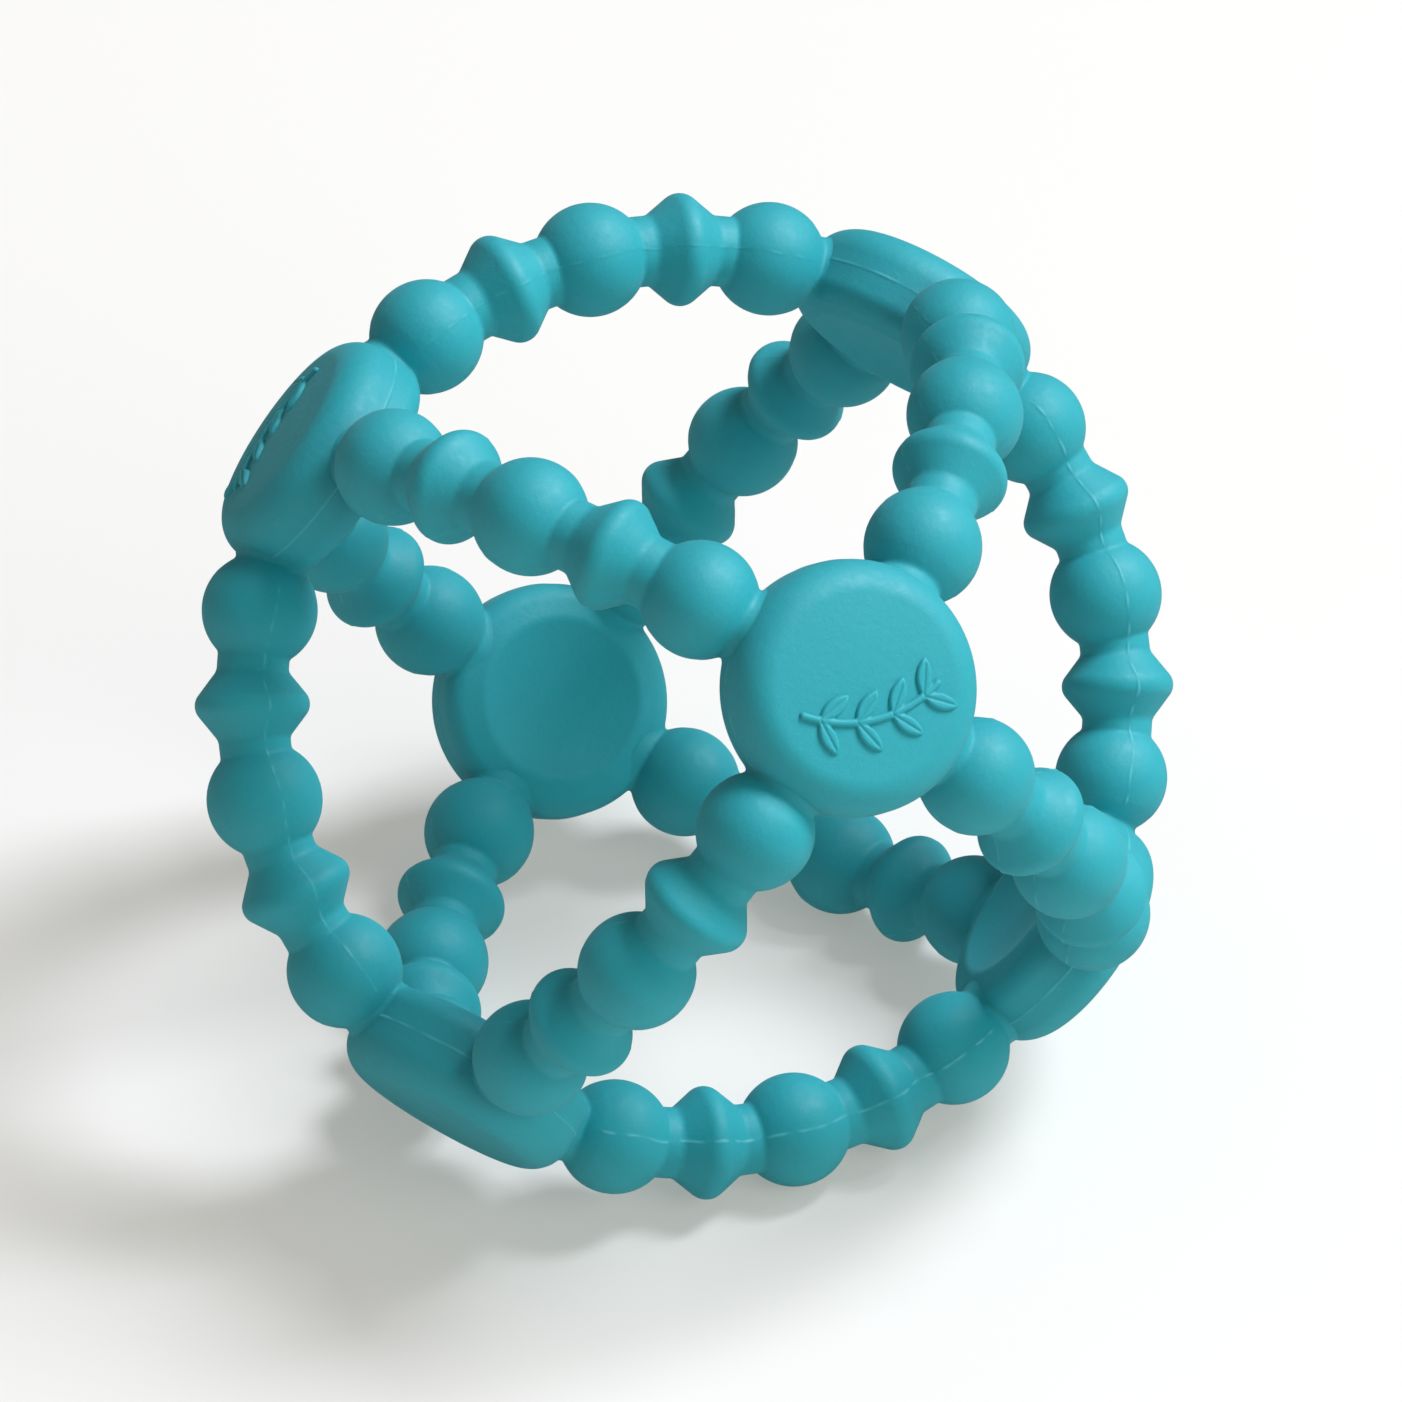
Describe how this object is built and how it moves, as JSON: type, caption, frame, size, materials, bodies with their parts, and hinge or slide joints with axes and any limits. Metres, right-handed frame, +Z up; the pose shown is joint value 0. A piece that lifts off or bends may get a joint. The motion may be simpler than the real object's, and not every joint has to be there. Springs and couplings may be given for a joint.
{
  "type": "teething ball",
  "caption": "Open teething ball of soft silicone: round pads joined by beaded strands, with large finger windows.",
  "frame": {"origin": "on the ground under the ball's centre, as the ball stands on the middle beads of its lowest strands", "axes": "+Z up; the upper front pad leans towards -Y; +X to the right seen from the front"},
  "size_m": [0.1, 0.0918, 0.081],
  "materials": {
    "silicone": "matte"
  },
  "bodies": {
    "root": {"pad_upper_front": "silicone", "pad_upper_right": "silicone", "pad_upper_left": "silicone", "pad_lower_rear": "silicone", "pad_lower_left": "silicone", "pad_lower_right": "silicone", "strand_upper_front_right": "silicone", "strand_upper_front_left": "silicone", "strand_upper_rear": "silicone", "strand_side_front_right": "silicone", "strand_side_front_left": "silicone", "strand_side_right": "silicone", "strand_side_left": "silicone", "strand_side_rear_right": "silicone", "strand_side_rear_left": "silicone", "strand_lower_front": "silicone", "strand_lower_rear_right": "silicone", "strand_lower_rear_left": "silicone", "relief_upper_front": "silicone", "relief_upper_left": "silicone"}
  },
  "joints": []
}
